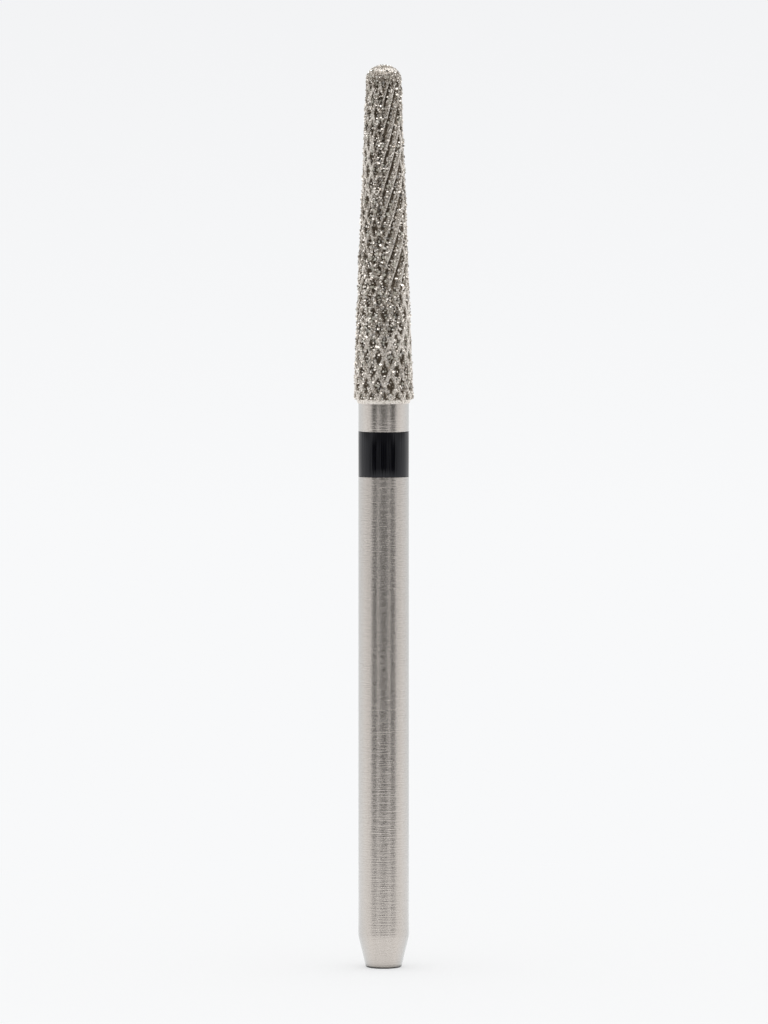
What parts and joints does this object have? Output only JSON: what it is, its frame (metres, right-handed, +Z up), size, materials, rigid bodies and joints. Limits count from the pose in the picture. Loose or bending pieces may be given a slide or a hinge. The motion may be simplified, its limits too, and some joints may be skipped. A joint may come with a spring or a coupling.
{
  "type": "dental bur",
  "caption": "Slim tapered grinding bur with a domed tip, a crossed lattice of grit pockets on its head, a colour band and a straight round shank with a tapered foot.",
  "frame": {"origin": "centre of the flat end face of the foot", "axes": "+Z up the axis from the foot to the domed tip; -Y is the side seen from the front"},
  "size_m": [0.0028, 0.0028, 0.0413],
  "materials": {
    "steel": "ground round the axis",
    "nickel_diamond": "plated nickel with exposed diamond grit",
    "black_enamel": "glossy"
  },
  "bodies": {
    "root": {"steel_blank": "steel", "diamond_coat": "nickel_diamond", "colour_band": "black_enamel"}
  },
  "joints": []
}
